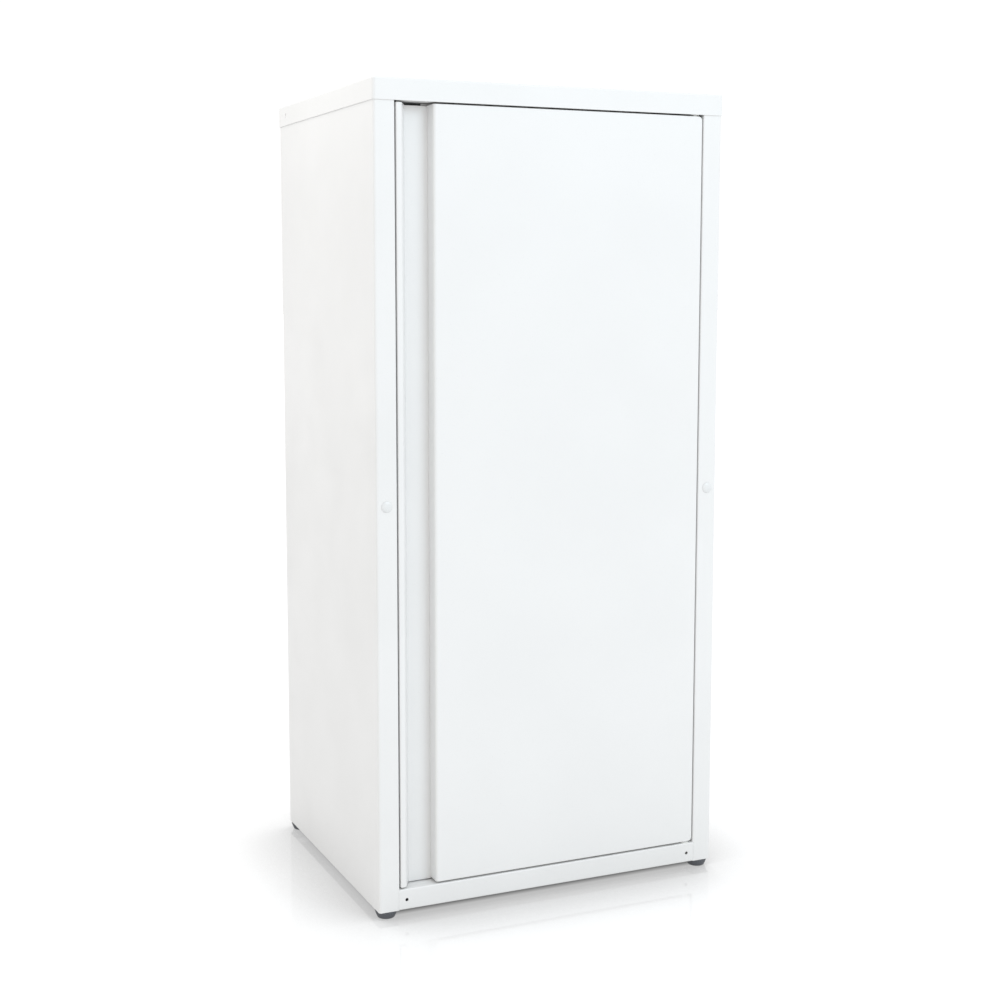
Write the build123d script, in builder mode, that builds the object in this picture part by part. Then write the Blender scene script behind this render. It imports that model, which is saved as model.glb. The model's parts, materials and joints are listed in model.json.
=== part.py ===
"""Sheet-steel locker cabinet: one inset door on pivot pins, two lift-off shelves, four levelling feet.

The frame stands on the floor at z = 0, centred on x = y = 0. The door is on the -Y side, closed,
with its hinge pins on the +X side. All lengths are millimetres.
"""

import os

from build123d import *

os.makedirs("parts", exist_ok=True)

# ---- driving dimensions ----
WIDTH = 400.0  # over the cap
DEPTH = 320.0  # over the cap
HEIGHT = 850.0  # body and cap, without the feet
FOOT_HEIGHT = 8.0  # floor to the underside of the body
SHEET = 1.0  # steel sheet
OVERHANG = 1.0  # the cap stands out past the body on each side
BEND = 1.0  # mid-line radius of an ordinary fold
CORNER_BEND = 2.0  # mid-line radius of the outer body corners

STILE = 22.5  # width of the front stiles
JAMB = 22.0  # depth of the door recess, front face to stop
RAIL = 22.0  # height of the front bottom rail
CAP_SKIRT = 22.3  # height of the cap's skirt
CAP_EDGE = 2.0  # rounding of the cap's upper edge
FLOOR_STEP = 6.0  # the cabinet floor stands above the rail ledge
HEAD_ABOVE_SKIRT = 0.5  # the ceiling lies just above the skirt's lower edge
REAR_FLANGE = 18.0  # inward flange at the back of a side panel
GROOVE_DEPTH = 17.0  # corner groove beside the back panel
GROOVE_WIDTH = 19.0
RETURN_GAP = 2.5  # side panel's outer face to the end of the return behind the stile
LIP_GAP = 1.6  # side panel's inner face to the edge of the back panel's lip
PANEL_DROP = 1.2  # the panels end this far under the cap, clear of its rounded edge

DOOR_THICKNESS = 18.5
DOOR_GAP = 1.5  # door to stiles and to the cap's skirt
DOOR_LIFT = 2.0  # door to rail ledge, filled by the lower bush
DOOR_CORNER = 4.5  # outline corner radius
DOOR_EDGE = 1.2  # rounding of the front edges
LAND_FACE = 6.0  # flat front of the land, measured from the free edge
LAND_FOOT = 15.6  # free edge to the foot of the land's slanted wall
LAND_BEND = 3.5  # rounding from the land's front into its slanted wall
LAND_END = 0.8  # rounding of the land's upper and lower ends
CHANNEL_SIDE = 39.6  # free edge to the square wall of the finger channel
CHANNEL_FLOOR = 2.0  # channel floor to the back of the door
CHANNEL_DROP = 1.1  # the channel floor ends this far below the door's top
CHANNEL_REACH = 1.0  # and this far below the door's bottom
CHANNEL_BEND = 3.0  # rounding from the door's front into the channel's square wall

PIN_RADIUS = 2.5
PIN_FROM_EDGE = 7.0  # pin axis to the hinge edge of the door
PIN_FROM_FRONT = 5.0  # pin axis to the front face
RUNNING = 0.05  # radial clearance of a running fit
PIN_TRAVEL = 9.0  # the upper pin draws down this far to free the door

STRIP_WIDTH = 17.0
STRIP_STAND = 6.0  # height of the front strips' legs
SLOT_PITCH = 25.0
SLOT_COUNT = 22
SLOT_WIDTH = 10.5
SLOT_HEIGHT = 3.0
TOP_SLOT = 673.5  # height of the highest slot
STRIP_MARGIN = 12.5  # highest and lowest slot to the strip's ends
STRIP_SCREW_SLOTS = (0.5, 10.5, 20.5)  # screws sit half way between two slots
SCREW_HOLE = 2.0
SCREW_SHANK = 1.95
SCREW_HEAD = 3.2
SCREW_HEAD_HEIGHT = 1.8
CAP_SCREW_HOLE = 1.5
CAP_SCREW_SHANK = 1.4
CAP_SCREW_HEAD = 2.3
CAP_SCREW_LENGTH = 6.0
RIVET_HOLE = 1.6
RIVET_HEAD = 3.2
RIVET_TAIL = 2.3

SHELF_THICKNESS = 22.0
SHELF_TOPS = {"upper": 563.5, "lower": 313.5}
SHELF_SIDE_GAP = 2.0
SHELF_LIFT_GAP = 0.3  # shelf to clip ledge

MID_HEIGHT = FOOT_HEIGHT + HEIGHT / 2  # height of the stile plugs and the jamb holes
PLUG_HOLE = 4.0
JAMB_HOLE = 3.5
RAIL_HOLE = 1.75
RAIL_HOLE_SPACING = 337.0

# ---- derived places ----
HALF = SHEET / 2
BASE = FOOT_HEIGHT
TOP = BASE + HEIGHT
BODY_X = WIDTH / 2 - OVERHANG  # outer face of a side panel
INNER_X = BODY_X - SHEET
FRONT = OVERHANG - DEPTH / 2
BACK = DEPTH / 2 - OVERHANG
STILE_X = BODY_X - STILE  # edge of the door opening
STOP_Y = FRONT + JAMB
BACK_FACE = BACK - 2 * SHEET - GROOVE_DEPTH  # inner face of the back panel
LIP_FACE = BACK - 2 * SHEET  # front face of the back panel's lips
LEDGE_Z = BASE + RAIL
FLOOR_Z = LEDGE_Z + FLOOR_STEP
SKIRT_Z = TOP - CAP_SKIRT
HEAD_Z = SKIRT_Z + HEAD_ABOVE_SKIRT
PANEL_TOP = TOP - SHEET - PANEL_DROP
SCREW_HEIGHTS = [TOP_SLOT - SLOT_PITCH * index for index in STRIP_SCREW_SLOTS]
SLOT_HEIGHTS = [TOP_SLOT - SLOT_PITCH * index for index in range(SLOT_COUNT)]

DOOR_X = STILE_X - DOOR_GAP  # half the door's width
DOOR_BOTTOM = LEDGE_Z + DOOR_LIFT
DOOR_TOP = SKIRT_Z - DOOR_GAP
DOOR_HEIGHT = DOOR_TOP - DOOR_BOTTOM
DOOR_REAR = FRONT + DOOR_THICKNESS
LAND_FACE_X = LAND_FACE - DOOR_X
LAND_FOOT_X = LAND_FOOT - DOOR_X
CHANNEL_EDGE = CHANNEL_SIDE - DOOR_X
CHANNEL_FACE = DOOR_REAR - CHANNEL_FLOOR
PIN_X = DOOR_X - PIN_FROM_EDGE
PIN_Y = FRONT + PIN_FROM_FRONT

REAR_STRIP_X = INNER_X - GROOVE_WIDTH / 2 - 0.4
FRONT_STRIP_X = STILE_X + 10.3
FRONT_STRIP_FACE = STOP_Y + STRIP_STAND
FOOT_X = BODY_X - STILE / 2
FOOT_Y = BACK - JAMB / 2
RIVET_X = BODY_X - 13
RIVET_HEIGHTS = (60.0, 240.0, 420.0, 600.0, 780.0)
CAP_SCREW_Z = TOP - CAP_SKIRT / 2
CAP_SCREW_Y = BACK - 28.0


def folded(points, plane, bends=BEND):
    """Section of a folded sheet on a plane, drawn along the sheet's mid-line."""
    with BuildSketch(plane) as section:
        with BuildLine():
            FilletPolyline(*points, radius=bends)
        trace(line_width=SHEET)
    return section.sketch


def along_x(start):
    """Plane for a section in (y, z) that is extruded towards +X from x = start."""
    return Plane.YZ.offset(start)


def along_y(start):
    """Plane for a section in (x, z) that is extruded towards +Y from y = start."""
    return Plane((0, start, 0), x_dir=(-1, 0, 0), z_dir=(0, 1, 0))


def facing_y(x, y, z):
    """Plane at a point, facing +Y."""
    return Plane((x, y, z), x_dir=(-1, 0, 0), z_dir=(0, 1, 0))


def save(builder, name):
    """Label a finished piece and write its STEP file."""
    builder.part.label = name
    export_step(builder.part, f"parts/{name}.step")


# ---- side panels: rear flange, side, front stile, jamb and the return that backs the stop ----
with BuildPart() as left_side_panel:
    panel_path = [
        (REAR_FLANGE - BODY_X, BACK - HALF),
        (HALF - BODY_X, BACK - HALF),
        (HALF - BODY_X, FRONT + HALF),
        (-STILE_X - HALF, FRONT + HALF),
        (-STILE_X - HALF, STOP_Y - HALF),
        (RETURN_GAP - BODY_X, STOP_Y - HALF),
    ]
    panel_bends = [CORNER_BEND, CORNER_BEND, BEND, BEND]
    extrude(folded(panel_path, Plane.XY.offset(BASE), panel_bends), amount=PANEL_TOP - BASE)
    with Locations(facing_y(-FOOT_X, FRONT + 2 * SHEET, MID_HEIGHT)):
        Hole(PLUG_HOLE, depth=3 * SHEET)
    with Locations(Plane((-STILE_X, FRONT + JAMB / 2, MID_HEIGHT), z_dir=(1, 0, 0))):
        Hole(JAMB_HOLE, depth=2 * SHEET)
    with Locations(*[facing_y(-FRONT_STRIP_X, STOP_Y, z) for z in SCREW_HEIGHTS]):
        Hole(SCREW_HOLE, depth=2 * SHEET)
    with Locations(*[facing_y(-REAR_STRIP_X, BACK, z) for z in SCREW_HEIGHTS]):
        Hole(SCREW_HOLE, depth=2 * SHEET)
    with Locations(*[facing_y(-RIVET_X, BACK, z) for z in RIVET_HEIGHTS]):
        Hole(RIVET_HOLE, depth=2 * SHEET)
    with Locations(facing_y(-REAR_STRIP_X, BACK, CAP_SCREW_Z)):
        Hole(CAP_SCREW_HOLE, depth=2 * SHEET)
    with Locations(Plane((-INNER_X, CAP_SCREW_Y, CAP_SCREW_Z), z_dir=(1, 0, 0))):
        Hole(CAP_SCREW_HOLE, depth=2 * SHEET)
save(left_side_panel, "left_side_panel")

with BuildPart() as right_side_panel:
    add(mirror(left_side_panel.part, about=Plane.YZ, mode=Mode.PRIVATE))
save(right_side_panel, "right_side_panel")

# ---- back panel: a hat section that leaves a groove in each rear corner ----
with BuildPart() as back_panel:
    fold_x = INNER_X - GROOVE_WIDTH - HALF
    lip_x = INNER_X - LIP_GAP
    half_path = [(lip_x, LIP_FACE + HALF), (fold_x, LIP_FACE + HALF), (fold_x, BACK_FACE + HALF)]
    other_half = [(-x, y) for x, y in reversed(half_path)]
    extrude(folded(half_path + other_half, Plane.XY.offset(BASE)), amount=PANEL_TOP - BASE)
    for side in (-1, 1):
        with Locations(*[facing_y(side * REAR_STRIP_X, LIP_FACE + SHEET, z) for z in SCREW_HEIGHTS]):
            Hole(SCREW_HOLE, depth=2 * SHEET)
        with Locations(*[facing_y(side * RIVET_X, LIP_FACE + SHEET, z) for z in RIVET_HEIGHTS]):
            Hole(RIVET_HOLE, depth=2 * SHEET)
        with Locations(facing_y(side * REAR_STRIP_X, LIP_FACE + SHEET, CAP_SCREW_Z)):
            Hole(CAP_SCREW_HOLE, depth=2 * SHEET)
save(back_panel, "back_panel")

# ---- cap: a drawn tray turned over the body ----
with BuildPart() as top_cap:
    with BuildSketch(Plane.XY.offset(SKIRT_Z)):
        Rectangle(WIDTH, DEPTH)
    extrude(amount=CAP_SKIRT)
    fillet(top_cap.edges().filter_by(Axis.Z), radius=CORNER_BEND + HALF + OVERHANG)
    fillet(top_cap.faces().sort_by(Axis.Z)[-1].edges(), radius=CAP_EDGE)
    offset(amount=-SHEET, openings=top_cap.faces().sort_by(Axis.Z)[0])
    for side in (-1, 1):
        with Locations(Plane((side * WIDTH / 2, CAP_SCREW_Y, CAP_SCREW_Z), z_dir=(side, 0, 0))):
            Hole(CAP_SCREW_HEAD, depth=2 * SHEET)
        with Locations(facing_y(side * REAR_STRIP_X, DEPTH / 2, CAP_SCREW_Z)):
            Hole(CAP_SCREW_HEAD, depth=2 * SHEET)
save(top_cap, "top_cap")

with BuildPart() as cap_screws:
    for side in (-1, 1):
        for head in (
            Plane((side * (WIDTH / 2 - SHEET), CAP_SCREW_Y, CAP_SCREW_Z), z_dir=(side, 0, 0)),
            facing_y(side * REAR_STRIP_X, DEPTH / 2 - SHEET, CAP_SCREW_Z),
        ):
            with BuildSketch(head):
                Circle(CAP_SCREW_HEAD)
            extrude(amount=0.9 * SHEET)
            with BuildSketch(head):
                Circle(CAP_SCREW_SHANK)
            extrude(amount=-CAP_SCREW_LENGTH)
save(cap_screws, "cap_screws")

# ---- ceiling pan and the stop bar that hangs from it ----
PAN_X = INNER_X - 1.5
PAN_FLANGE = 8.0  # depth of the side and rear flanges
PAN_FRONT_FLANGE = 14.0  # height of the front flange, behind the cap's skirt
PAN_NOTCH = 6.0  # corner notch between the flanges
PAN_HOLE = 2.4
PAN_HOLES_Y = (-20, 80)
with BuildPart() as ceiling_pan:
    pan_z = HEAD_Z + HALF
    side_flanges = [
        (HALF - PAN_X, HEAD_Z - PAN_FLANGE),
        (HALF - PAN_X, pan_z),
        (PAN_X - HALF, pan_z),
        (PAN_X - HALF, HEAD_Z - PAN_FLANGE),
    ]
    pan_front = STOP_Y + PAN_NOTCH
    pan_rear = BACK_FACE - PAN_NOTCH
    extrude(folded(side_flanges, along_y(pan_front)), amount=pan_rear - pan_front)
    end_flanges = [
        (FRONT + HALF, HEAD_Z + PAN_FRONT_FLANGE),
        (FRONT + HALF, pan_z),
        (BACK_FACE - HALF, pan_z),
        (BACK_FACE - HALF, HEAD_Z - PAN_FLANGE),
    ]
    end_x = STILE_X - PAN_NOTCH / 2
    extrude(folded(end_flanges, along_x(-end_x)), amount=2 * end_x)
    with Locations((PIN_X, PIN_Y, pan_z)):
        Cylinder(JAMB_HOLE, 2 * SHEET, mode=Mode.SUBTRACT)
    for side in (-1, 1):
        flange_middle = HEAD_Z - PAN_FLANGE / 2
        with Locations(*[Plane((side * PAN_X, y, flange_middle), z_dir=(side, 0, 0)) for y in PAN_HOLES_Y]):
            Hole(PAN_HOLE, depth=2 * SHEET)
save(ceiling_pan, "ceiling_pan")

STOP_BAR = 15.2  # height of the stop bar below the ceiling
STOP_BAR_X = 160.0  # half its length
STOP_BAR_FLANGE = 15.0  # welded to the underside of the ceiling
STOP_BAR_CORNER = 6.0
with BuildPart() as header_stop:
    stop_path = [
        (STOP_Y - HALF, HEAD_Z - STOP_BAR),
        (STOP_Y - HALF, HEAD_Z - HALF),
        (STOP_Y + STOP_BAR_FLANGE, HEAD_Z - HALF),
    ]
    extrude(folded(stop_path, along_x(-STOP_BAR_X)), amount=2 * STOP_BAR_X)
    lower_corners = header_stop.edges().filter_by(Axis.Y).group_by(Axis.Z)[0]
    fillet(lower_corners, radius=STOP_BAR_CORNER)
save(header_stop, "header_stop")

# ---- floor pan, front rail and rear rail ----
FLOOR_FLANGE = 20.0
FLOOR_FRONT_FLANGE = 16.0
FLOOR_CLEARANCE = 0.5  # floor pan to the jambs and to the stop
with BuildPart() as floor_pan:
    floor_mid = FLOOR_Z - HALF
    side_flanges = [
        (HALF - INNER_X, FLOOR_Z - FLOOR_FLANGE),
        (HALF - INNER_X, floor_mid),
        (INNER_X - HALF, floor_mid),
        (INNER_X - HALF, FLOOR_Z - FLOOR_FLANGE),
    ]
    floor_front = STOP_Y + FLOOR_CLEARANCE
    extrude(folded(side_flanges, along_y(floor_front)), amount=BACK_FACE - floor_front)
    end_flanges = [
        (STOP_Y + HALF, FLOOR_Z - FLOOR_FRONT_FLANGE),
        (STOP_Y + HALF, floor_mid),
        (BACK_FACE - HALF, floor_mid),
        (BACK_FACE - HALF, FLOOR_Z - FLOOR_FLANGE),
    ]
    end_x = STILE_X - FLOOR_CLEARANCE
    extrude(folded(end_flanges, along_x(-end_x)), amount=2 * end_x)
save(floor_pan, "floor_pan")

RAIL_X = STILE_X + SHEET  # the rail's ends fill the grooves beside the stiles' rounded folds
RAIL_FOOT = 11.0  # flange along the bottom of the rail
RAIL_RETURN = 18.0  # flange that hangs from the back of the ledge
with BuildPart() as bottom_rail:
    rail_path = [
        (FRONT + RAIL_FOOT, BASE + HALF),
        (FRONT + HALF, BASE + HALF),
        (FRONT + HALF, LEDGE_Z - HALF),
        (STOP_Y - HALF, LEDGE_Z - HALF),
        (STOP_Y - HALF, LEDGE_Z - RAIL_RETURN),
    ]
    extrude(folded(rail_path, along_x(-RAIL_X)), amount=2 * RAIL_X)
    add(left_side_panel.part, mode=Mode.SUBTRACT)
    add(right_side_panel.part, mode=Mode.SUBTRACT)
    with Locations((PIN_X, PIN_Y, LEDGE_Z - HALF)):
        Cylinder(JAMB_HOLE, 2 * SHEET, mode=Mode.SUBTRACT)
    rail_hole_z = BASE + RAIL / 2 - 0.5
    for side in (-1, 1):
        with Locations(facing_y(side * RAIL_HOLE_SPACING / 2, FRONT + 2 * SHEET, rail_hole_z)):
            Hole(RAIL_HOLE, depth=3 * SHEET)
save(bottom_rail, "bottom_rail")

REAR_RAIL_FLANGE = 15.0
with BuildPart() as rear_rail:
    rear_y = BACK_FACE - SHEET - HALF
    rear_low = BASE + SHEET + HALF
    rear_path = [
        (rear_y - REAR_RAIL_FLANGE, FLOOR_Z - SHEET - HALF),
        (rear_y, FLOOR_Z - SHEET - HALF),
        (rear_y, rear_low),
        (rear_y - REAR_RAIL_FLANGE, rear_low),
    ]
    rear_x = INNER_X - SHEET - 0.6
    extrude(folded(rear_path, along_x(-rear_x)), amount=2 * rear_x)
save(rear_rail, "rear_rail")


# ---- slotted shelf strips in the four corners ----
def slotted_strip(centre_x, face_y, mount_y, name):
    """Channel whose slotted web lies at face_y and whose legs stand on mount_y."""
    behind = 1 if mount_y > face_y else -1
    web_y = face_y + behind * HALF
    leg_x = STRIP_WIDTH / 2 - HALF
    bottom = SLOT_HEIGHTS[-1] - STRIP_MARGIN
    path = [
        (centre_x - leg_x, mount_y),
        (centre_x - leg_x, web_y),
        (centre_x + leg_x, web_y),
        (centre_x + leg_x, mount_y),
    ]
    with BuildPart() as strip:
        extrude(folded(path, Plane.XY.offset(bottom)), amount=TOP_SLOT + STRIP_MARGIN - bottom)
        with BuildSketch(facing_y(centre_x, web_y - SHEET, 0)):
            with Locations(*[(0, z) for z in SLOT_HEIGHTS]):
                Rectangle(SLOT_WIDTH, SLOT_HEIGHT)
            with Locations(*[(0, z) for z in SCREW_HEIGHTS]):
                Circle(SCREW_HOLE)
        extrude(amount=2 * SHEET, mode=Mode.SUBTRACT)
    save(strip, name)


for side, side_name in ((-1, "left"), (1, "right")):
    slotted_strip(side * REAR_STRIP_X, BACK_FACE, LIP_FACE, f"rear_{side_name}_strip")
    slotted_strip(side * FRONT_STRIP_X, FRONT_STRIP_FACE, STOP_Y, f"front_{side_name}_strip")

with BuildPart() as strip_screws:
    for side in (-1, 1):
        for z in SCREW_HEIGHTS:
            for x, head_y, tip_y in (
                (REAR_STRIP_X, BACK_FACE, BACK - 0.1),
                (FRONT_STRIP_X, FRONT_STRIP_FACE, STOP_Y - 2 * SHEET),
            ):
                outward = 1 if head_y < tip_y else -1
                with BuildSketch(facing_y(side * x, head_y, z)):
                    Circle(SCREW_HEAD)
                extrude(amount=-SCREW_HEAD_HEIGHT * outward)
                with BuildSketch(facing_y(side * x, head_y, z)):
                    Circle(SCREW_SHANK)
                extrude(amount=tip_y - head_y)
save(strip_screws, "strip_screws")

# ---- shelf clips: a plate on the strip, a ledge under the shelf and two hooks in the slots ----
CLIP_SHEET = 1.5
CLIP_WIDTH = 14.0
CLIP_REACH = 13.0  # strip face to the end of the ledge
CLIP_ABOVE = 7.0  # plate above the upper hook's slot
CLIP_BELOW = 5.0  # plate below the lower hook's slot
HOOK_WIDTH = 9.0
HOOK_HALF = 1.2  # half the height of a hook's neck
HOOK_DROP = 7.0
HOOK_REACH = 2.6


def shelf_clips(shelf_top, name):
    """Four clips, one in each corner, that carry one shelf."""
    ledge_z = shelf_top - SHELF_THICKNESS - SHELF_LIFT_GAP
    hook_slots = [z for z in SLOT_HEIGHTS if ledge_z - SLOT_PITCH < z < ledge_z + 10]
    plate_top = hook_slots[0] + CLIP_ABOVE
    plate_bottom = hook_slots[-1] - CLIP_BELOW
    with BuildPart() as clips:
        for side in (-1, 1):
            for x, face_y, inward in (
                (REAR_STRIP_X, BACK_FACE, -1),
                (FRONT_STRIP_X, FRONT_STRIP_FACE, 1),
            ):
                middle = Plane.YZ.offset(side * x)
                with BuildSketch(middle):
                    with BuildLine():
                        Polyline(
                            (face_y, plate_top),
                            (face_y, plate_bottom),
                            (face_y + inward * CLIP_SHEET, plate_bottom),
                            (face_y + inward * CLIP_SHEET, ledge_z - CLIP_SHEET),
                            (face_y + inward * CLIP_REACH, ledge_z - CLIP_SHEET),
                            (face_y + inward * CLIP_REACH, ledge_z),
                            (face_y + inward * CLIP_SHEET, ledge_z),
                            (face_y + inward * CLIP_SHEET, plate_top),
                            close=True,
                        )
                    make_face()
                extrude(amount=CLIP_WIDTH / 2, both=True)
                with BuildSketch(middle):
                    for z in hook_slots:
                        with BuildLine():
                            Polyline(
                                (face_y, z - HOOK_HALF),
                                (face_y - inward * HOOK_HALF, z - HOOK_HALF),
                                (face_y - inward * HOOK_HALF, z - HOOK_DROP),
                                (face_y - inward * HOOK_REACH, z - HOOK_DROP),
                                (face_y - inward * HOOK_REACH, z + HOOK_HALF),
                                (face_y, z + HOOK_HALF),
                                close=True,
                            )
                        make_face()
                extrude(amount=HOOK_WIDTH / 2, both=True)
    save(clips, name)


# ---- shelves: folded pans with a return lip, stiffened across the middle ----
SHELF_X = INNER_X - SHELF_SIDE_GAP
SHELF_FRONT = FRONT_STRIP_FACE + 2.0
SHELF_REAR = BACK_FACE - 2.5
SHELF_RETURN = 12.0
SHELF_CORNER = 1.5
SHELF_EDGE = 1.2
STIFFENER_HALF = 20.0  # half the width of the hat-section bar
STIFFENER_DEPTH = 12.0
STIFFENER_LIP = 12.0


def shelf(shelf_top, name):
    """Shelf pan, open below, with its top face at shelf_top."""
    bottom = shelf_top - SHELF_THICKNESS
    middle_y = (SHELF_FRONT + SHELF_REAR) / 2
    with BuildPart() as pan:
        with BuildSketch(Plane.XY.offset(bottom)):
            with Locations((0, middle_y)):
                Rectangle(2 * SHELF_X, SHELF_REAR - SHELF_FRONT)
        extrude(amount=SHELF_THICKNESS)
        fillet(pan.edges().filter_by(Axis.Z), radius=SHELF_CORNER)
        fillet(pan.faces().sort_by(Axis.Z)[-1].edges(), radius=SHELF_EDGE)
        offset(amount=-SHEET, openings=pan.faces().sort_by(Axis.Z)[0])
        with BuildSketch(Plane.XY.offset(bottom)):
            for y in (SHELF_FRONT + SHELF_RETURN / 2, SHELF_REAR - SHELF_RETURN / 2):
                with Locations((0, y)):
                    Rectangle(2 * SHELF_X - 8, SHELF_RETURN - 1)
        extrude(amount=SHEET)
    save(pan, name)


def shelf_stiffener(shelf_top, name):
    """Hat-section bar under the middle of a shelf."""
    under = shelf_top - SHEET - HALF
    lip_y = STIFFENER_HALF + STIFFENER_LIP
    half_bar = [(lip_y, under), (STIFFENER_HALF, under), (STIFFENER_HALF, under - STIFFENER_DEPTH)]
    path = [(-y, z) for y, z in half_bar] + half_bar[::-1]
    bar_x = SHELF_X - SHEET - 0.2
    with BuildPart() as bar:
        extrude(folded(path, along_x(-bar_x)), amount=2 * bar_x)
    save(bar, name)


for level, shelf_top in SHELF_TOPS.items():
    shelf_clips(shelf_top, f"{level}_shelf_clips")
    shelf(shelf_top, f"{level}_shelf")
    shelf_stiffener(shelf_top, f"{level}_shelf_stiffener")

# ---- plugs in the stiles and the magnet in the free-edge jamb ----
PLUG_HEAD = 6.0
PLUG_EDGE = 0.7
PLUG_LENGTH = 6.0
for side, side_name in ((-1, "left"), (1, "right")):
    with BuildPart() as stile_plug:
        face = Plane((side * FOOT_X, FRONT, MID_HEIGHT), z_dir=(0, -1, 0))
        with BuildSketch(face):
            Circle(PLUG_HEAD)
        extrude(amount=OVERHANG)
        fillet(stile_plug.edges().sort_by(Axis.Y)[0], radius=PLUG_EDGE)
        with BuildSketch(face):
            Circle(PLUG_HOLE)
        extrude(amount=-PLUG_LENGTH)
    save(stile_plug, f"{side_name}_stile_plug")

jamb_face = Plane((-STILE_X, FRONT + JAMB / 2, MID_HEIGHT), z_dir=(1, 0, 0))
MAGNET_RADIUS = 2.5
MAGNET_DEPTH = 5.5
CATCH_RIM = 4.5
CATCH_RIM_HEIGHT = 0.6
CATCH_LENGTH = 7.5
with BuildPart() as catch_housing:
    with BuildSketch(jamb_face):
        Circle(CATCH_RIM)
    extrude(amount=CATCH_RIM_HEIGHT)
    with BuildSketch(jamb_face):
        Circle(JAMB_HOLE)
    extrude(amount=-CATCH_LENGTH)
    with BuildSketch(jamb_face.offset(-MAGNET_DEPTH)):
        Circle(MAGNET_RADIUS)
    extrude(amount=MAGNET_DEPTH + CATCH_RIM_HEIGHT, mode=Mode.SUBTRACT)
save(catch_housing, "catch_housing")

with BuildPart() as catch_magnet:
    with BuildSketch(jamb_face.offset(-MAGNET_DEPTH)):
        Circle(MAGNET_RADIUS)
    extrude(amount=MAGNET_DEPTH + CATCH_RIM_HEIGHT + 0.2)
save(catch_magnet, "catch_magnet")

# ---- rivets through the back panel's lips and the side panels' rear flanges ----
with BuildPart() as back_panel_rivets:
    for side in (-1, 1):
        for z in RIVET_HEIGHTS:
            outer = facing_y(side * RIVET_X, BACK, z)
            with BuildSketch(outer):
                Circle(RIVET_HEAD)
            extrude(amount=0.8 * SHEET, taper=25)
            with BuildSketch(outer):
                Circle(RIVET_HOLE)
            extrude(amount=-2 * SHEET)
            with BuildSketch(outer.offset(-2 * SHEET)):
                Circle(RIVET_TAIL)
            extrude(amount=-1.5 * SHEET)
save(back_panel_rivets, "back_panel_rivets")

# ---- nut plates and weld nuts that take the levelling feet ----
PLATE_BOTTOM = BASE + 1.0
PLATE = 2.5
PLATE_CORNER = 2.0
NUT_HEIGHT = 6.5
NUT_ACROSS = 13.0  # across the flats
STEM_RADIUS = 4.0
PLATES = {
    "front": (FRONT + SHEET, STOP_Y - SHEET, STILE_X + SHEET),
    "rear": (BACK_FACE + SHEET, LIP_FACE, INNER_X - GROOVE_WIDTH),
}
with BuildPart() as foot_nut_plates:
    for side in (-1, 1):
        for low_y, high_y, low_x in PLATES.values():
            foot_y = FOOT_Y if low_y > 0 else -FOOT_Y
            with BuildSketch(Plane.XY.offset(PLATE_BOTTOM)):
                with Locations((side * (low_x + INNER_X) / 2, (low_y + high_y) / 2)):
                    Rectangle(INNER_X - low_x, high_y - low_y)
                with Locations((side * FOOT_X, foot_y)):
                    Circle(STEM_RADIUS + RUNNING, mode=Mode.SUBTRACT)
            extrude(amount=PLATE)
    fillet(foot_nut_plates.edges().filter_by(Axis.Z).filter_by(GeomType.LINE), radius=PLATE_CORNER)
save(foot_nut_plates, "foot_nut_plates")

with BuildPart() as foot_weld_nuts:
    with BuildSketch(Plane.XY.offset(PLATE_BOTTOM + PLATE)):
        with GridLocations(2 * FOOT_X, 2 * FOOT_Y, 2, 2):
            RegularPolygon(radius=NUT_ACROSS / 2, side_count=6, major_radius=False, rotation=0)
            Circle(STEM_RADIUS + RUNNING, mode=Mode.SUBTRACT)
    extrude(amount=NUT_HEIGHT)
save(foot_weld_nuts, "foot_weld_nuts")

# ---- levelling feet ----
PAD_TOP = 11.8  # radius at the top
PAD_SOLE = 8.8  # radius on the floor
PAD_HEIGHT = FOOT_HEIGHT - 0.3
STEM_SEAT = 3.0
STEM_LENGTH = 30.0
for side, side_name in ((-1, "left"), (1, "right")):
    for end, end_name in ((-1, "front"), (1, "rear")):
        with BuildPart() as foot_pad:
            with Locations((side * FOOT_X, end * FOOT_Y, 0)):
                Cone(PAD_SOLE, PAD_TOP, PAD_HEIGHT, align=(Align.CENTER, Align.CENTER, Align.MIN))
            fillet(foot_pad.edges().group_by(Axis.Z)[0], radius=1)
            fillet(foot_pad.edges().group_by(Axis.Z)[-1], radius=0.5)
            with BuildSketch(Plane((side * FOOT_X, end * FOOT_Y, STEM_SEAT))):
                Circle(STEM_RADIUS)
            extrude(amount=PAD_HEIGHT, mode=Mode.SUBTRACT)
        save(foot_pad, f"{end_name}_{side_name}_foot_pad")
        with BuildPart() as foot_stem:
            with BuildSketch(Plane((side * FOOT_X, end * FOOT_Y, STEM_SEAT))):
                Circle(STEM_RADIUS)
            extrude(amount=STEM_LENGTH)
            chamfer(foot_stem.edges().group_by(Axis.Z)[-1], length=0.8)
        save(foot_stem, f"{end_name}_{side_name}_foot_stem")

# ---- door skin: main pan, land with a slanted wall, and the finger channel between them ----
DOOR_SEAT = DOOR_REAR - SHEET  # the inner panel lies from here to the back of the door
door_middle = (DOOR_BOTTOM + DOOR_TOP) / 2

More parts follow.
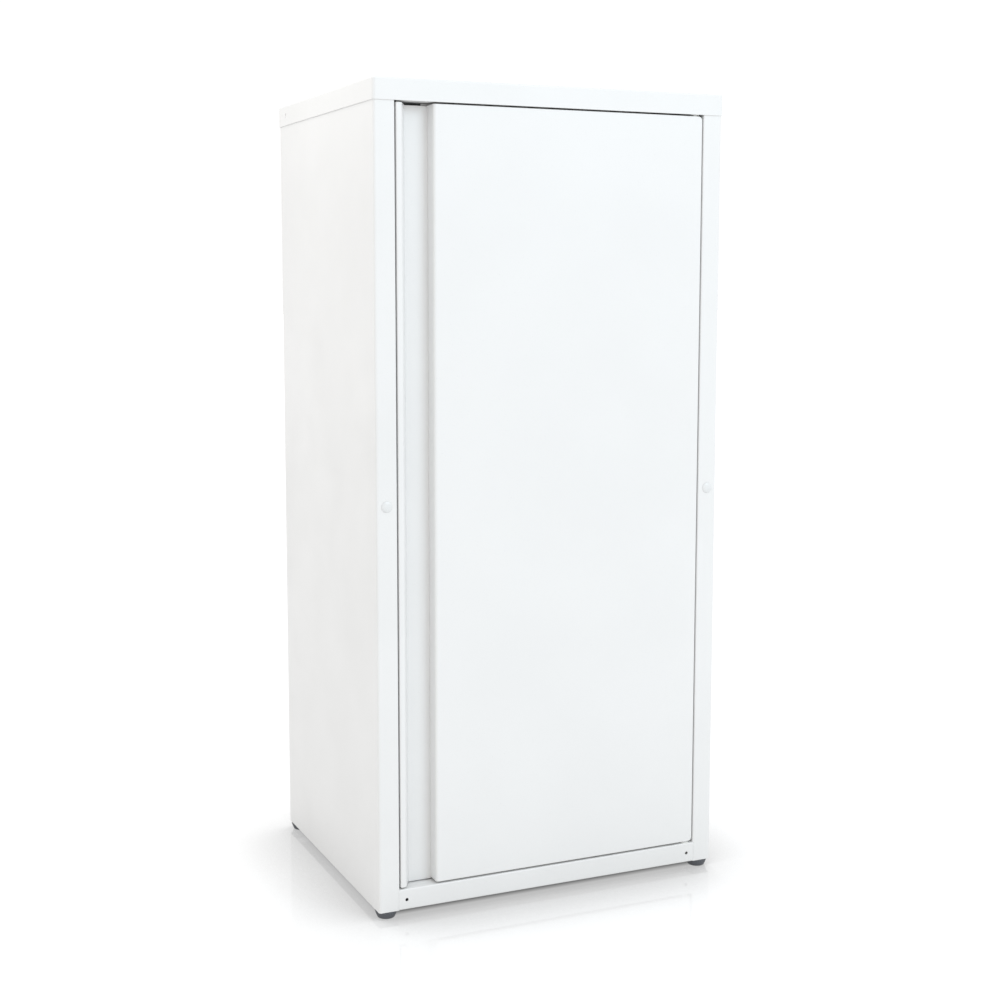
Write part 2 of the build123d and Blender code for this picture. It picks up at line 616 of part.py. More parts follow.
with BuildPart() as main_pan:
    with BuildSketch(Plane((0, FRONT, 0), x_dir=(1, 0, 0), z_dir=(0, -1, 0))):
        with Locations(((CHANNEL_EDGE + DOOR_X) / 2, door_middle)):
            Rectangle(DOOR_X - CHANNEL_EDGE, DOOR_HEIGHT)
    extrude(amount=-DOOR_THICKNESS)
    fillet(main_pan.edges().filter_by(Axis.Y).group_by(Axis.X)[-1], radius=DOOR_CORNER)
    front_edges = main_pan.faces().sort_by(Axis.Y)[0].edges()
    channel_edge = front_edges.sort_by(Axis.X)[0]
    fillet(channel_edge, radius=CHANNEL_BEND)
    front_edges = main_pan.faces().sort_by(Axis.Y)[0].edges().sort_by(Axis.X)[1:]
    fillet(front_edges, radius=DOOR_EDGE)
    offset(amount=-SHEET, openings=main_pan.faces().sort_by(Axis.Y)[-1])

with BuildPart() as land:
    with BuildSketch(Plane.XY.offset(DOOR_BOTTOM)):
        with BuildLine():
            FilletPolyline(
                (-DOOR_X, DOOR_REAR),
                (-DOOR_X, FRONT),
                (LAND_FACE_X, FRONT),
                (LAND_FOOT_X, DOOR_REAR),
                radius=[DOOR_EDGE, LAND_BEND],
            )
            Line((LAND_FOOT_X, DOOR_REAR), (-DOOR_X, DOOR_REAR))
        make_face()
    extrude(amount=DOOR_HEIGHT)
    land_ends = land.edges().group_by(Axis.Z)
    fillet((land_ends[0] + land_ends[-1]).filter_by(lambda e: e.center().Y < DOOR_SEAT), radius=LAND_END)
    offset(amount=-SHEET, openings=land.faces().sort_by(Axis.Y)[-1])

with BuildPart() as door_skin:
    add(main_pan.part)
    add(land.part)
    with BuildSketch(Plane.XY.offset(DOOR_BOTTOM - CHANNEL_REACH)):
        wall_slope = (LAND_FOOT_X - LAND_FACE_X) / DOOR_THICKNESS
        floor_left = LAND_FACE_X + wall_slope * (CHANNEL_FACE - FRONT) - HALF
        floor_right = CHANNEL_EDGE + HALF
        with Locations(((floor_left + floor_right) / 2, CHANNEL_FACE + HALF)):
            Rectangle(floor_right - floor_left, SHEET)
    extrude(amount=CHANNEL_REACH + DOOR_HEIGHT - CHANNEL_DROP)
    with BuildSketch(facing_y(0, DOOR_SEAT, door_middle)):
        RectangleRounded(2 * (DOOR_X - SHEET), DOOR_HEIGHT - 2 * SHEET, DOOR_CORNER - SHEET)
    extrude(amount=2 * SHEET, mode=Mode.SUBTRACT)
    with Locations((PIN_X, PIN_Y, DOOR_BOTTOM)):
        Cylinder(PIN_RADIUS, 4 * SHEET, mode=Mode.SUBTRACT)
    with Locations((PIN_X, PIN_Y, DOOR_TOP)):
        Cylinder(PIN_RADIUS + 2 * RUNNING, 4 * SHEET, mode=Mode.SUBTRACT)
save(door_skin, "door_skin")

LEVER_Z = 788.0
LEVER_RADIUS = 1.5
LEVER_CLEARANCE = 0.7
PANEL_CLEARANCE = 0.1  # inner panel to the rim of the skin
with BuildPart() as door_inner_panel:
    with BuildSketch(facing_y(0, DOOR_SEAT, door_middle)):
        rim = SHEET + PANEL_CLEARANCE
        RectangleRounded(2 * (DOOR_X - rim), DOOR_HEIGHT - 2 * rim, DOOR_CORNER - SHEET)
    extrude(amount=SHEET)
    slot_centre = LEVER_Z - PIN_TRAVEL / 2
    with BuildSketch(facing_y(PIN_X, DOOR_SEAT, slot_centre)):
        slot_width = 2 * (LEVER_RADIUS + LEVER_CLEARANCE)
        SlotOverall(PIN_TRAVEL + slot_width + 0.6, slot_width, rotation=90)
    extrude(amount=SHEET, mode=Mode.SUBTRACT)
save(door_inner_panel, "door_inner_panel")

HAT_X = 24.0  # middle of the door's stiffener
HAT_WEB = 20.0  # half the width of its web
HAT_FLANGE = 14.0
HAT_END = 8.0  # stiffener to the ends of the door
with BuildPart() as door_stiffener:
    web_y = FRONT + SHEET + HALF
    flange_y = DOOR_SEAT - HALF
    half_hat = [(HAT_WEB + HAT_FLANGE, flange_y), (HAT_WEB, flange_y), (HAT_WEB, web_y)]
    hat_path = [(HAT_X - x, y) for x, y in half_hat] + [(HAT_X + x, y) for x, y in reversed(half_hat)]
    extrude(folded(hat_path, Plane.XY.offset(DOOR_BOTTOM + HAT_END)), amount=DOOR_HEIGHT - 2 * HAT_END)
save(door_stiffener, "door_stiffener")


# ---- hinge brackets, pins, spring and bushes ----
def hinge_bracket(low, high, hole_radius, name):
    """U-shaped bracket in the hinge corner of the door, from z = low to z = high."""
    wall = DOOR_X - SHEET
    plate, web, reach = 2.0, 1.5, 14.0
    bracket_front = FRONT + SHEET + 0.3
    with BuildPart() as bracket:
        with BuildSketch(along_y(bracket_front)):
            with BuildLine():
                Polyline(
                    (-wall, low),
                    (-wall, high),
                    (reach - wall, high),
                    (reach - wall, high - plate),
                    (web - wall, high - plate),
                    (web - wall, low + plate),
                    (reach - wall, low + plate),
                    (reach - wall, low),
                    close=True,
                )
            make_face()
        extrude(amount=DOOR_SEAT - bracket_front)
        fillet(bracket.edges().filter_by(Axis.Y).group_by(Axis.X)[-1], radius=DOOR_CORNER - SHEET + 0.2)
        with Locations((PIN_X, PIN_Y, (low + high) / 2)):
            Cylinder(hole_radius, high - low + 2, mode=Mode.SUBTRACT)
    save(bracket, name)


UPPER_BRACKET = (795.0, DOOR_TOP - SHEET)
LOWER_BRACKET = (DOOR_BOTTOM + SHEET, 60.0)
hinge_bracket(*UPPER_BRACKET, PIN_RADIUS + 2 * RUNNING, "top_hinge_bracket")
hinge_bracket(*LOWER_BRACKET, PIN_RADIUS, "bottom_hinge_bracket")

BUSH_FLANGE = 1.0
BUSH_BARREL = 5.0
BUSH_RADIUS = 4.8


def hinge_bush(flange_face, direction, name):
    """Flanged bush: flange in the door gap from flange_face, barrel through the sheet beyond it."""
    with BuildPart() as bush:
        with BuildSketch(Plane((PIN_X, PIN_Y, flange_face), z_dir=(0, 0, direction))):
            Circle(BUSH_RADIUS)
        extrude(amount=BUSH_FLANGE)
        with BuildSketch(Plane((PIN_X, PIN_Y, flange_face), z_dir=(0, 0, direction))):
            Circle(JAMB_HOLE)
        extrude(amount=BUSH_FLANGE + BUSH_BARREL)
        with Locations((PIN_X, PIN_Y, flange_face)):
            Cylinder(PIN_RADIUS + RUNNING, 2 * (BUSH_FLANGE + BUSH_BARREL) + 2, mode=Mode.SUBTRACT)
    save(bush, name)


hinge_bush(LEDGE_Z + BUSH_FLANGE, -1, "bottom_hinge_bush")
hinge_bush(HEAD_Z - BUSH_FLANGE, 1, "top_hinge_bush")

PIN_BOTTOM = 22.0
PIN_CHAMFER = 0.8
PIN_COLLAR = 3.9
COLLAR_GAP = 0.1
with BuildPart() as bottom_hinge_pin:
    with BuildSketch(Plane((PIN_X, PIN_Y, PIN_BOTTOM))):
        Circle(PIN_RADIUS)
    extrude(amount=LOWER_BRACKET[1] + 1 - PIN_BOTTOM)
    chamfer(bottom_hinge_pin.edges().group_by(Axis.Z)[0], length=PIN_CHAMFER)
    with BuildSketch(Plane((PIN_X, PIN_Y, LEDGE_Z + BUSH_FLANGE + COLLAR_GAP))):
        Circle(PIN_COLLAR)
    extrude(amount=DOOR_LIFT - BUSH_FLANGE - COLLAR_GAP)
save(bottom_hinge_pin, "bottom_hinge_pin")

COLLAR_RADIUS = 3.6
COLLAR_BOTTOM = 824.0
PIN_TOP = HEAD_Z + 7.0
with BuildPart() as top_hinge_pin:
    with BuildSketch(Plane((PIN_X, PIN_Y, LEVER_Z - 2))):
        Circle(PIN_RADIUS)
    extrude(amount=PIN_TOP - LEVER_Z + 2)
    chamfer(top_hinge_pin.edges().group_by(Axis.Z)[-1], length=PIN_CHAMFER)
    with BuildSketch(Plane((PIN_X, PIN_Y, COLLAR_BOTTOM))):
        Circle(COLLAR_RADIUS)
    extrude(amount=2)
    with BuildSketch(facing_y(PIN_X, PIN_Y, LEVER_Z)):
        Circle(LEVER_RADIUS)
    extrude(amount=DOOR_REAR + 4 - PIN_Y)
save(top_hinge_pin, "top_hinge_pin")

SPRING_RADIUS = 3.1
SPRING_WIRE = 0.35
SPRING_BOTTOM = UPPER_BRACKET[0] + 2.0
with BuildPart() as hinge_pin_spring:
    with BuildLine() as spring_line:
        Helix(
            pitch=2.9,
            height=COLLAR_BOTTOM - SPRING_BOTTOM - 2 * SPRING_WIRE - 0.2,
            radius=SPRING_RADIUS,
            center=(PIN_X, PIN_Y, SPRING_BOTTOM + SPRING_WIRE + 0.1),
        )
    with BuildSketch(Plane(spring_line.line @ 0, z_dir=spring_line.line % 0)):
        Circle(SPRING_WIRE)
    sweep()
save(hinge_pin_spring, "hinge_pin_spring")

# ---- rubber pads on the door's back, facing the stop bar ----
BUFFER_X = 151.0
BUFFER_WIDTH = 18.0
BUFFER_BOTTOM = 824.0
BUFFER_TOP = SKIRT_Z - 0.3  # the pads swing out under the cap's skirt
with BuildPart() as door_buffers:
    with BuildSketch(facing_y(0, DOOR_REAR, (BUFFER_BOTTOM + BUFFER_TOP) / 2)):
        with GridLocations(2 * BUFFER_X, 1, 2, 1):
            Rectangle(BUFFER_WIDTH, BUFFER_TOP - BUFFER_BOTTOM)
    extrude(amount=2.2)
save(door_buffers, "door_buffers")
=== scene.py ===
"""Looks of the locker cabinet: powder-coated sheet steel, plated hardware, plastic plugs and feet.

Metres, in the row frame: X right, the door on the -Y side, +Z up, the floor at z = 0. The profiles
of turned pieces are in millimetres.
"""

import json
import math
import random

import bmesh
import bpy
from mathutils import Matrix, Vector


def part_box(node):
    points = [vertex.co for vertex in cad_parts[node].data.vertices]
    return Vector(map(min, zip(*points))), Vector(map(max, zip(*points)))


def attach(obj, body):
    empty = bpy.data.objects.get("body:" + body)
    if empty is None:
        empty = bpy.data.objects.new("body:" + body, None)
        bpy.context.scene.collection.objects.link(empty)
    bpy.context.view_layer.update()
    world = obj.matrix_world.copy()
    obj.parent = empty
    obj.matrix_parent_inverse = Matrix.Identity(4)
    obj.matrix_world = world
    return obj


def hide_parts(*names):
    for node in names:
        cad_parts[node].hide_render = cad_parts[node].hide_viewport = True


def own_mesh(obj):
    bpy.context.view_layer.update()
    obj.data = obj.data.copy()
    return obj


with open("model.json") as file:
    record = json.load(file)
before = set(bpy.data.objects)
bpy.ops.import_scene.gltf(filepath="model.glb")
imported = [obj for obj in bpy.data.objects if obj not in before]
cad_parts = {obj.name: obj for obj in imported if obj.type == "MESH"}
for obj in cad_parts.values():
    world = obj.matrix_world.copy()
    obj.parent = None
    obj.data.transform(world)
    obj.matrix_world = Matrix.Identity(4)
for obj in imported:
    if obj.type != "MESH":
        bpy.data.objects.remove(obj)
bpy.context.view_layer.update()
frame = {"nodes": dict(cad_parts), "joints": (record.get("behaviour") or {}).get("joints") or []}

MM = 0.001

# ---- camera ----
CAMERA_AT = (-0.7365, -1.650, 0.6585)
CAMERA_TURN = 23.85  # degrees from +Y towards +X
CAMERA_DIP = 6.65  # degrees below the horizon
CAMERA_LENS = 57.2  # focal length in mm
CAMERA_SENSOR = 36  # width in mm
CAMERA_SHIFT = (0.013, -0.033)
CAMERA_CLIP = (0.05, 100)

# ---- light and floor ----
SKY_STRENGTH = 1.05
KEY_AT, KEY_AIM, KEY_SIZE = (0.9, -2.4, 1.9), (0, 0, 0.6), (1.4, 1.0)
KEY_POWER, KEY_COLOUR = 21.0, (0.70, 0.87, 1.0)
SIDE_AT, SIDE_AIM, SIDE_SIZE = (-0.45, 0, 1.15), (-0.2, 0, 0.85), (0.2, 0.5)
SIDE_POWER, SIDE_COLOUR = 0.75, (1.0, 0.99, 0.97)
FLOOR_REACH = 30.0
FLOOR_GREYS = ((0.425, 0.425, 0.425), (0.435, 0.435, 0.435))
# painted light: how strongly the floor glows outside the cabinet's footprint
FLOOR_PAINTED_GLOW = 0.52
PAINTED_GLOW_BESIDE = (180 * MM, 195 * MM)  # the floor's painted glow comes up between these distances from the middle; nearer the middle there is none, a painted shadow under the cabinet
PAINTED_GLOW_BEFORE = (136 * MM, 151 * MM)
# painted shadow: how far from the cabinet the ambient-occlusion darkening painted onto the floor reaches
PAINTED_SHADOW_REACH = 130 * MM

# ---- places, from the CAD where it has them ----
CAP_LOW, CAP_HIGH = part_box("top_cap")
OVERHANG = 1 * MM  # the cap stands out past the body on each side
BODY_X = CAP_HIGH.x - OVERHANG
FRONT, BACK = CAP_LOW.y + OVERHANG, CAP_HIGH.y - OVERHANG
CAP_SCREW_Y, CAP_SCREW_Z = BACK - 28 * MM, (CAP_LOW.z + CAP_HIGH.z) / 2
RIVET_X = BODY_X - 13 * MM
RIVET_HEIGHTS = [z * MM for z in (60, 240, 420, 600, 780)]
STRIP_SCREW_INSET = 25 * MM  # from the ends of a slotted strip to its outer screws
PIN_X, PIN_Y, _ = next(joint["pos_m"] for joint in frame["joints"] if joint["name"] == "door_hinge")
SPRING_SEAT, SPRING_LOW, SPRING_HIGH = 797 * MM, 797.45 * MM, 823.5 * MM  # low and high: the wire's middle

SHARP_ANGLE = math.radians(38)
chance = random.Random(7)


def middle(node):
    """The middle of a CAD node's box."""
    low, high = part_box(node)
    return (low + high) / 2


# ---------------------------------------------------------------- node graphs
class Finish:
    """A procedural material in the making: a Principled shader and the nodes that feed it."""

    def __init__(self, name, colour, roughness, **sockets):
        self.material = bpy.data.materials.new(name)
        self.material.use_nodes = True
        self.nodes = self.material.node_tree.nodes
        self.links = self.material.node_tree.links
        self.shader = self.nodes["Principled BSDF"]
        self.shader.inputs["Base Color"].default_value = (*colour, 1)
        self.shader.inputs["Roughness"].default_value = roughness
        for socket, value in sockets.items():
            self.shader.inputs[socket.replace("_", " ")].default_value = value
        self.place = self.nodes.new("ShaderNodeTexCoord").outputs["Object"]
        self.normal = None

    def node(self, kind, inputs=(), **settings):
        """A new node; inputs maps a socket's name or number to a value or to another node's output."""
        made = self.nodes.new("ShaderNode" + kind)
        for key, value in settings.items():
            setattr(made, key, value)
        for socket, value in dict(inputs).items():
            if isinstance(value, bpy.types.NodeSocket):
                self.links.new(value, made.inputs[socket])
            else:
                made.inputs[socket].default_value = value
        return made

    def stretched(self, scale):
        """The object's coordinates, scaled differently along each axis."""
        return self.node("Mapping", {"Vector": self.place, "Scale": scale}).outputs["Vector"]

    def noise(self, size, detail=2.0, place=None):
        """Noise whose features are about size metres across, from 0 to 1."""
        inputs = {"Vector": place or self.place, "Scale": 1 / size, "Detail": detail}
        return self.node("TexNoise", inputs).outputs["Fac"]

    def spread(self, value, low, high, new_low=0.0, new_high=1.0):
        """value from low..high carried to new_low..new_high, and clamped."""
        inputs = {"Value": value, "From Min": low, "From Max": high, "To Min": new_low, "To Max": new_high}
        return self.node("MapRange", inputs).outputs["Result"]

    def mixed(self, share, colour, other):
        """Two colours, each an output or three numbers, mixed by share, which is an output."""
        made = self.node("Mix", data_type="RGBA")
        for socket, value in (("Factor", share), ("A", colour), ("B", other)):
            target = [s for s in made.inputs if s.name == socket and s.enabled][0]
            if isinstance(value, bpy.types.NodeSocket):
                self.links.new(value, target)
            else:
                target.default_value = (*value, 1)
        return [s for s in made.outputs if s.enabled][0]

    def edges(self, radius):
        """Rounds the shading of sharp edges, and returns a mask that is 1 on them."""
        flat, bent = 0.995, 0.75  # dot product of the rounded and the true normal, off an edge and on it
        bevel = self.node("Bevel", {"Radius": radius}, samples=4).outputs["Normal"]
        true_normal = self.node("NewGeometry").outputs["Normal"]
        alike = self.node("VectorMath", {0: bevel, 1: true_normal}, operation="DOT_PRODUCT")
        self.normal = bevel
        return self.spread(alike.outputs["Value"], flat, bent)

    def bump(self, height, depth):
        """Adds relief of that depth in metres to the normal so far."""
        inputs = {"Height": height, "Distance": depth, "Strength": 1.0}
        if self.normal:
            inputs["Normal"] = self.normal
        self.normal = self.node("Bump", inputs).outputs["Normal"]

    def done(self, colour, roughness=None):
        """Links the colour, roughness and normal to the shader and returns the material."""
        self.links.new(colour, self.shader.inputs["Base Color"])
        if roughness:
            self.links.new(roughness, self.shader.inputs["Roughness"])
        if self.normal:
            self.links.new(self.normal, self.shader.inputs["Normal"])
        return self.material


# ---------------------------------------------------------------- materials
def powder_coat(name, colour, shade, roughness, peel):
    """White powder coat: a slow wave of the sheet, orange peel, specks, and a duller tone on the folds."""
    finish = Finish(name, colour, roughness, Specular_IOR_Level=0.5)
    edge = finish.edges(0.5 * MM)
    finish.bump(finish.noise(240 * MM, 0.0), 0.10 * MM)
    finish.bump(finish.noise(16 * MM, 1.0), 0.012 * MM)
    finish.bump(finish.noise(1.9 * MM, 2.0), peel * MM)
    cloud = finish.spread(finish.noise(130 * MM, 3.0), 0.35, 0.65)
    speck = finish.spread(finish.noise(0.9 * MM, 1.0), 0.71, 0.76)
    coated = finish.mixed(cloud, colour, shade)
    coated = finish.mixed(speck, coated, tuple(0.93 * c for c in shade))
    coated = finish.mixed(edge, coated, tuple(0.96 * c for c in shade))
    gloss = finish.spread(finish.noise(45 * MM, 4.0), 0.3, 0.7, roughness - 0.05, roughness + 0.05)
    return finish.done(coated, gloss)


def plated_steel(name, colour, warm, roughness):
    """Plated steel: a slightly uneven tint, fine drawing marks, brighter edges."""
    finish = Finish(name, colour, roughness, Metallic=1.0)
    edge = finish.edges(0.2 * MM)
    finish.bump(finish.noise(0.5 * MM, 2.0, finish.stretched((1, 1, 0.12))), 0.004 * MM)
    tint = finish.spread(finish.noise(5 * MM, 3.0), 0.35, 0.65)
    plated = finish.mixed(tint, colour, warm)
    plated = finish.mixed(edge, plated, tuple(min(1.0, 1.12 * c) for c in colour))
    dull = finish.spread(finish.noise(2 * MM, 4.0), 0.3, 0.7, roughness - 0.08, roughness + 0.10)
    return finish.done(plated, dull)


def moulded(name, colour, shade, roughness, grain):
    """Moulded plastic or rubber with a fine spark-eroded grain and slightly uneven colour."""
    finish = Finish(name, colour, roughness)
    edge = finish.edges(0.2 * MM)
    finish.bump(finish.noise(0.35 * MM, 3.0), grain * MM)
    cloud = finish.spread(finish.noise(6 * MM, 3.0), 0.3, 0.7)
    body = finish.mixed(cloud, colour, shade)
    body = finish.mixed(edge, body, tuple(min(1.0, 1.10 * c) for c in colour))
    dull = finish.spread(finish.noise(1.4 * MM, 3.0), 0.3, 0.7, roughness - 0.05, roughness + 0.07)
    return finish.done(body, dull)


# one row per material slot: its two colours, its roughness, and the depth of its grain in mm
WHITE = (0.780, 0.777, 0.768)
COATED = {
    "body_powder_coat": (WHITE, (0.762, 0.759, 0.749), 0.36, 0.010),
    "door_powder_coat": (WHITE, (0.766, 0.763, 0.754), 0.34, 0.009),
    "shelf_powder_coat": (WHITE, (0.760, 0.757, 0.747), 0.38, 0.010),
    "strip_powder_coat": (WHITE, (0.755, 0.752, 0.743), 0.40, 0.008),
    "white_screw": (WHITE, (0.74, 0.74, 0.73), 0.30, 0.002),
}
PLATED = {
    "zinc_steel": ((0.62, 0.64, 0.66), (0.66, 0.65, 0.60), 0.30),
    "dark_screw": ((0.10, 0.10, 0.105), (0.13, 0.12, 0.11), 0.38),
    "magnet": ((0.42, 0.43, 0.44), (0.46, 0.45, 0.43), 0.28),
}
MOULDED = {
    "plug_plastic": ((0.74, 0.745, 0.74), (0.71, 0.715, 0.71), 0.24, 0.002),
    "nylon": ((0.80, 0.80, 0.77), (0.76, 0.76, 0.73), 0.42, 0.003),
    "foot_plastic": ((0.095, 0.100, 0.112), (0.075, 0.080, 0.090), 0.42, 0.006),
    "buffer_rubber": ((0.012, 0.012, 0.013), (0.008, 0.008, 0.009), 0.62, 0.004),
}
FINISHES = {
    slot: make(slot, *values)
    for make, rows in ((powder_coat, COATED), (plated_steel, PLATED), (moulded, MOULDED))
    for slot, values in rows.items()
}


def dress_cad_nodes():
    """Gives every CAD node the finish of its material slot."""
    for node in frame["nodes"].values():
        for slot in node.material_slots:
            slot.material = FINISHES[slot.material.name.split(".")[0]]


# ---------------------------------------------------------------- tools for pieces built in mesh code
def facing(at, direction):
    """Places local +Z along direction at a point, turned about it by chance, as a screw ends up."""
    turn = Matrix.Rotation(chance.uniform(0, math.tau), 4, "Z")
    return Matrix.Translation(at) @ Vector(direction).to_track_quat("Z", "X").to_matrix().to_4x4() @ turn


def turned(bm, place, profile, segments=48, shape=None):
    """Adds a turned solid: profile is (radius, height) in mm from the top of the axis to its bottom."""
    rings = []
    for radius, height in profile:
        ring = []
        for step in range(segments if radius else 1):
            angle = math.tau * step / segments
            point = Vector((radius * math.cos(angle), radius * math.sin(angle), height))
            ring.append(bm.verts.new(place @ ((shape(point) if shape else point) * MM)))
        rings.append(ring)
    for upper, lower in zip(rings, rings[1:]):
        for step in range(segments):
            corners = [upper[step % len(upper)], lower[step % len(lower)]]
            corners += [lower[(step + 1) % len(lower)], upper[(step + 1) % len(upper)]]
            bm.faces.new(list(dict.fromkeys(corners)))


def dome(radius, height, rings, power):
    """Profile of a domed head, from its middle to its rim; a higher power gives a flatter top."""
    shares = [ring / rings for ring in range(rings + 1)]
    return [(radius * share, height * (1 - share**power) ** 0.5) for share in shares]


def ramp(value):
    """value, held between 0 and 1."""
    return min(1, max(0, value))


def cross_recess(reach, width, depth):
    """A shape that sinks a screw head's cross recess into its top, in mm."""
    slope, rise = 0.15, 0.6  # width of the recess's walls, and how much shallower its arms end

    def sunk(point):
        across, along = sorted((abs(point.x), abs(point.y)))
        wall = ramp((width - across) / slope) * ramp((reach - along) / slope)
        if point.z > 0:
            point.z -= wall * depth * (1 - rise * along / reach)
        return point

    return sunk


def finished(name, bm, slot, body, *nodes):
    """Makes bm a piece that stands for those CAD nodes and moves with their body."""
    bmesh.ops.recalc_face_normals(bm, faces=bm.faces)
    mesh = bpy.data.meshes.new(name)
    bm.to_mesh(mesh)
    bm.free()
    mesh.shade_smooth()
    mesh.set_sharp_from_angle(angle=SHARP_ANGLE)
    mesh.materials.append(FINISHES[slot])
    piece = bpy.data.objects.new(name, mesh)
    bpy.context.scene.collection.objects.link(piece)
    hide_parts(*nodes)
    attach(piece, body)
    return piece


# ---------------------------------------------------------------- pieces
def strip_screws():
    """Black pan-head screws that hold the slotted strips, two strips on each side."""
    bm = bmesh.new()
    shank, tip, taper = 1.95, 1.0, 0.9
    rear_low, rear_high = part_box("rear_right_strip")
    front_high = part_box("front_right_strip")[1]
    half_way = middle("rear_right_strip").z
    heights = (rear_high.z - STRIP_SCREW_INSET, half_way, rear_low.z + STRIP_SCREW_INSET)
    # x, y, the way the head faces, and the length in mm
    rear = (middle("rear_right_strip").x, rear_low.y, -1, 18.9)
    front = (middle("front_right_strip").x, front_high.y, 1, 8)
    for side in (-1, 1):
        for z in heights:
            for x, y, out, length in (rear, front):
                head = dome(3.2, 1.8, rings=18, power=3)
                profile = head + [(shank, 0), (shank, taper - length), (tip, -length), (0, -length)]
                recess = cross_recess(reach=1.7, width=0.45, depth=1.2)
                turned(bm, facing((side * x, y, z), (0, out, 0)), profile, 64, recess)
    finished("strip_screws_detailed", bm, "dark_screw", "cabinet", "strip_screws")


def cap_screws():
    """Painted flat-head screws that hold the cap: one on each side, two at the back."""
    bm = bmesh.new()
    profile = dome(2.25, 0.85, rings=14, power=6) + [(2.25, -0.3), (1.4, -0.8), (1.4, -5.2), (0, -6)]
    back_x = middle("rear_right_strip").x
    for side in (-1, 1):
        for at, out in (
            ((side * BODY_X, CAP_SCREW_Y, CAP_SCREW_Z), (side, 0, 0)),
            ((side * back_x, BACK, CAP_SCREW_Z), (0, 1, 0)),
        ):
            turned(bm, facing(at, out), profile, 64, cross_recess(reach=1.3, width=0.35, depth=0.7))
    finished("cap_screws_detailed", bm, "white_screw", "cabinet", "cap_screws")


def back_rivets():
    """Painted blind rivets with the mandrel's end left in the hole."""
    bm = bmesh.new()
    mandrel = [(0, 0.22), (0.6, 0.24), (0.78, 0.12), (0.86, 0.10)]
    head = [(0.92, 0.66), (1.1, 0.79), (1.8, 0.76), (2.5, 0.58), (3.0, 0.30), (3.2, 0.06), (3.2, 0)]
    shank = [(1.6, 0), (1.6, -2)]
    tail = [(2.0, -2.05), (2.3, -2.4), (2.3, -3.1), (1.9, -3.5), (0.9, -3.5), (0, -3.4)]
    for side in (-1, 1):
        for z in RIVET_HEIGHTS:
            turned(bm, facing((side * RIVET_X, BACK, z), (0, 1, 0)), mandrel + head + shank + tail)
    finished("back_rivets_detailed", bm, "body_powder_coat", "cabinet", "back_panel_rivets")


def stile_plug(side_name):
    """White snap-in plug: a low dome, and behind it a hollow barrel with a bead that snaps in."""
    bm = bmesh.new()
    cap = dome(5.95, 2.0, rings=14, power=2) + [(3.95, 0)]
    bead = [(3.85, -2.2), (3.98, -2.6), (3.98, -3.2)]
    end = [(3.4, -5.6), (3.2, -6), (2.6, -6)]
    hollow = [(2.6, -1.2), (0, -1.2)]
    at = middle(f"{side_name}_stile_plug")
    turned(bm, facing((at.x, FRONT, at.z), (0, -1, 0)), cap + bead + end + hollow, 96)
    finished(f"{side_name}_plug_detailed", bm, "plug_plastic", "cabinet", f"{side_name}_stile_plug")


def foot_pad(name, place):
    """A foot's tapered pad, with a fluted grip round its rim."""
    bm = bmesh.new()
    bore_floor = 3.1
    grip_low, grip_high = 2.6, 7.3
    fade_low, fade_high = 0.6, 0.5  # heights over which the flutes fade in and out
    flutes, flute_depth = 28, 0.035  # the depth is a share of the radius

    def fluted(point):
        band = ramp((point.z - grip_low) / fade_low) * ramp((grip_high - point.z) / fade_high)
        angle = math.atan2(point.y, point.x)
        share = 1 - flute_depth * band * (0.5 - 0.5 * math.cos(flutes * angle)) ** 2
        return Vector((point.x * share, point.y * share, point.z))

    bore = [(0, bore_floor), (4.05, bore_floor), (4.05, 7.2)]
    top = [(4.4, 7.6), (6, 7.7), (11.0, 7.7), (11.45, 7.55), (11.7, grip_high)]
    flank = [(11.75, 6.9), (11.55, 6.2), (11.2, 5.2), (10.8, 4.2), (10.4, 3.2), (10.2, 2.7), (10.0, 2.4)]
    sole = [(9.6, 1.3), (9.2, 0.55), (8.8, 0.15), (8.3, 0), (6.0, 0), (5.7, 0.4), (0, 0.4)]
    turned(bm, place, bore + top + flank + sole, 224, fluted)
    finished(f"{name}_pad_detailed", bm, "foot_plastic", name, f"{name}_pad")


def foot_stem(name, place):
    """A foot's M8 stem, with a real thread that runs out at the top."""
    bm = bmesh.new()
    low, high, steps = 3.1, 33.0, 192
    root, thread, pitch = 3.36, 0.62, 1.25
    plain, runout = 0.4, 1.2  # bare length at the top, and the length over which the thread comes up
    steep, valley = 2.4, 0.7  # slope of the thread's flanks, and how wide its root is
    heights = [high - (high - low) * step / steps for step in range(steps + 1)]

    def threaded(point):
        phase = (point.z / pitch - math.atan2(point.y, point.x) / math.tau) % 1
        crest = ramp(steep * abs(2 * phase - 1) - valley) * ramp((high - plain - point.z) / runout)
        share = (root + thread * crest) / root
        return Vector((point.x * share, point.y * share, point.z))

    profile = [(0, high)] + [(root, z) for z in heights] + [(0, low)]
    turned(bm, place, profile, 40, threaded)
    finished(f"{name}_stem_detailed", bm, "zinc_steel", name, f"{name}_stem")


